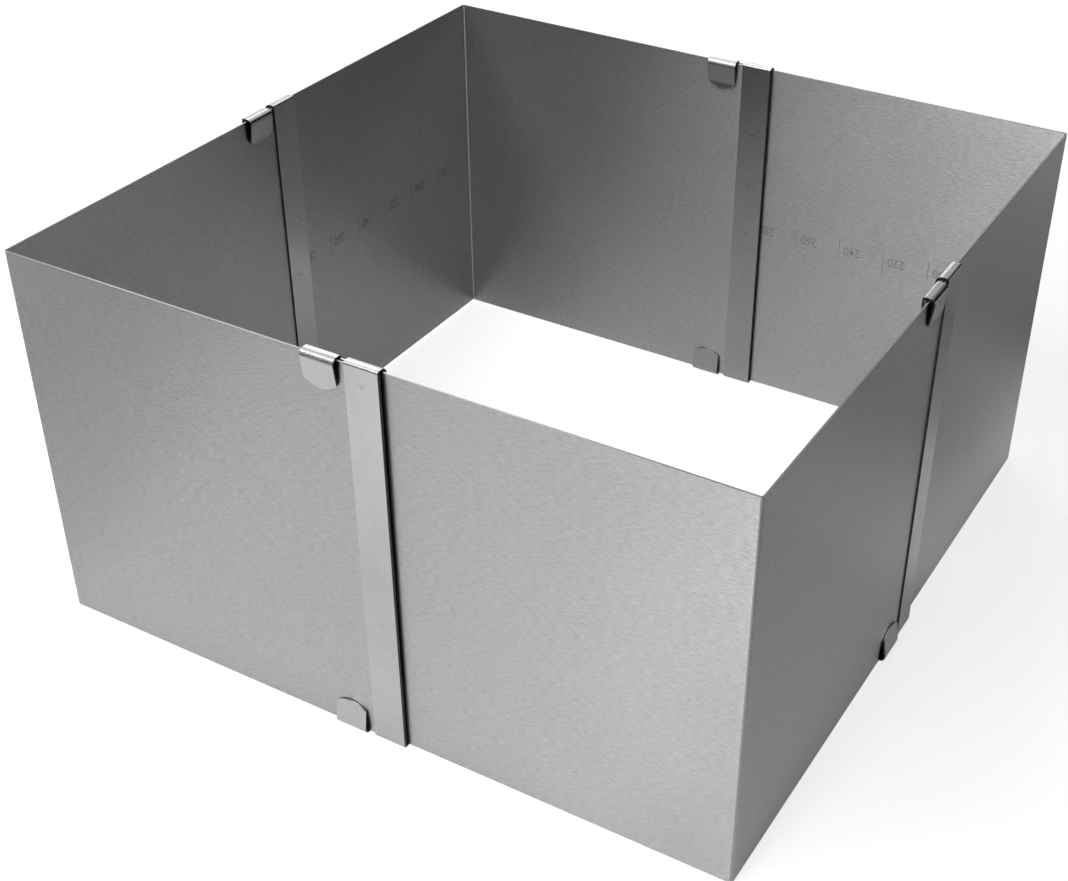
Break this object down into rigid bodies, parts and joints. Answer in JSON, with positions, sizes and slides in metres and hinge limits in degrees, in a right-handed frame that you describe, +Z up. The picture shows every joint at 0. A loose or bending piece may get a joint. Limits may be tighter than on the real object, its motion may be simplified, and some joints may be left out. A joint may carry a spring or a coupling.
{
  "type": "adjustable cake frame",
  "caption": "Square stainless steel cake frame of bent corner sheets in a ring, held by hooked straps, so that its width and depth slide larger or smaller.",
  "frame": {"origin": "middle of the frame, level with the undersides of the hooks it stands on, as pictured", "axes": "+Z up out of the open top, -Y out of the front wall, +X out of the right wall"},
  "size_m": [0.2812, 0.2812, 0.1518],
  "materials": {
    "sheet_steel": "fine horizontal brushing, satin",
    "strap_steel": "brushed along the strip, smooth at the bends"
  },
  "bodies": {
    "front_left_corner": {"front_left_corner_sheet": "sheet_steel", "front_wall_outer_strap": "strap_steel", "left_wall_inner_strap": "strap_steel"},
    "front_right_corner": {"front_right_corner_sheet": "sheet_steel", "right_wall_outer_strap": "strap_steel", "front_wall_inner_strap": "strap_steel"},
    "back_right_corner": {"back_right_corner_sheet": "sheet_steel", "back_wall_outer_strap": "strap_steel", "right_wall_inner_strap": "strap_steel"},
    "back_left_corner": {"back_left_corner_sheet": "sheet_steel", "left_wall_outer_strap": "strap_steel", "back_wall_inner_strap": "strap_steel"}
  },
  "joints": [
    {"name": "width_slide", "type": "slide", "parent": "front_left_corner", "child": "front_right_corner", "axis": [1, 0, 0], "range_m": [-0.12, 0.0027]},
    {"name": "depth_slide", "type": "slide", "parent": "front_left_corner", "child": "back_left_corner", "axis": [0, 1, 0], "range_m": [-0.12, 0.0027]},
    {"name": "right_wall_slide", "type": "slide", "parent": "front_right_corner", "child": "back_right_corner", "axis": [0, 1, 0], "range_m": [-0.12, 0.0027]}
  ],
  "couplings": [
    {"joint": "right_wall_slide", "follows": "depth_slide", "ratio": 1}
  ]
}
